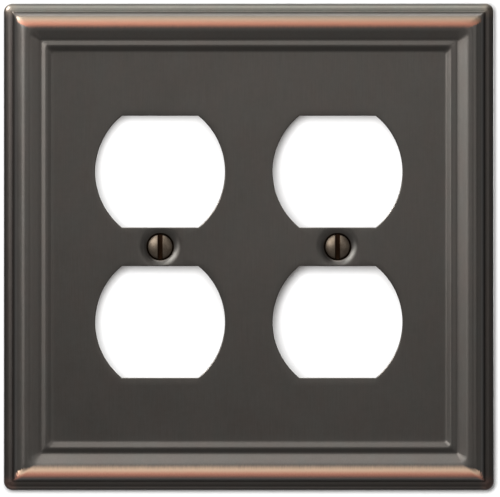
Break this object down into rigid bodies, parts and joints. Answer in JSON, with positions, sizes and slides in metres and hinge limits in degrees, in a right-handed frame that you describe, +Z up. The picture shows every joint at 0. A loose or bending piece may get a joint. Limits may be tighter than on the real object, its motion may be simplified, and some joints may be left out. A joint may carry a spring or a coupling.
{
  "type": "wall plate cover",
  "caption": "Square wall plate with a moulded border and four duplex receptacle openings, held by slotted oval-head screws.",
  "frame": {"origin": "centre of the plate's outline on the wall plane, where its back rim rests on the wall", "axes": "+X across the plate to the right as seen from the front, +Z up, +Y into the wall, so the face looks along -Y"},
  "size_m": [0.1274, 0.0221, 0.1266],
  "materials": {
    "plate_finish": "aged bronze, brushed upright",
    "screw_finish": "oil-rubbed bronze, satin"
  },
  "bodies": {
    "plate": {"wall_plate": "plate_finish"},
    "left_screw": {"left_screw": "screw_finish"},
    "right_screw": {"right_screw": "screw_finish"}
  },
  "joints": [
    {"name": "left_screw_draw", "type": "slide", "parent": "plate", "child": "left_screw", "axis": [0, -1, 0], "range_m": [0, 0.021]},
    {"name": "right_screw_draw", "type": "slide", "parent": "plate", "child": "right_screw", "axis": [0, -1, 0], "range_m": [0, 0.021]}
  ]
}
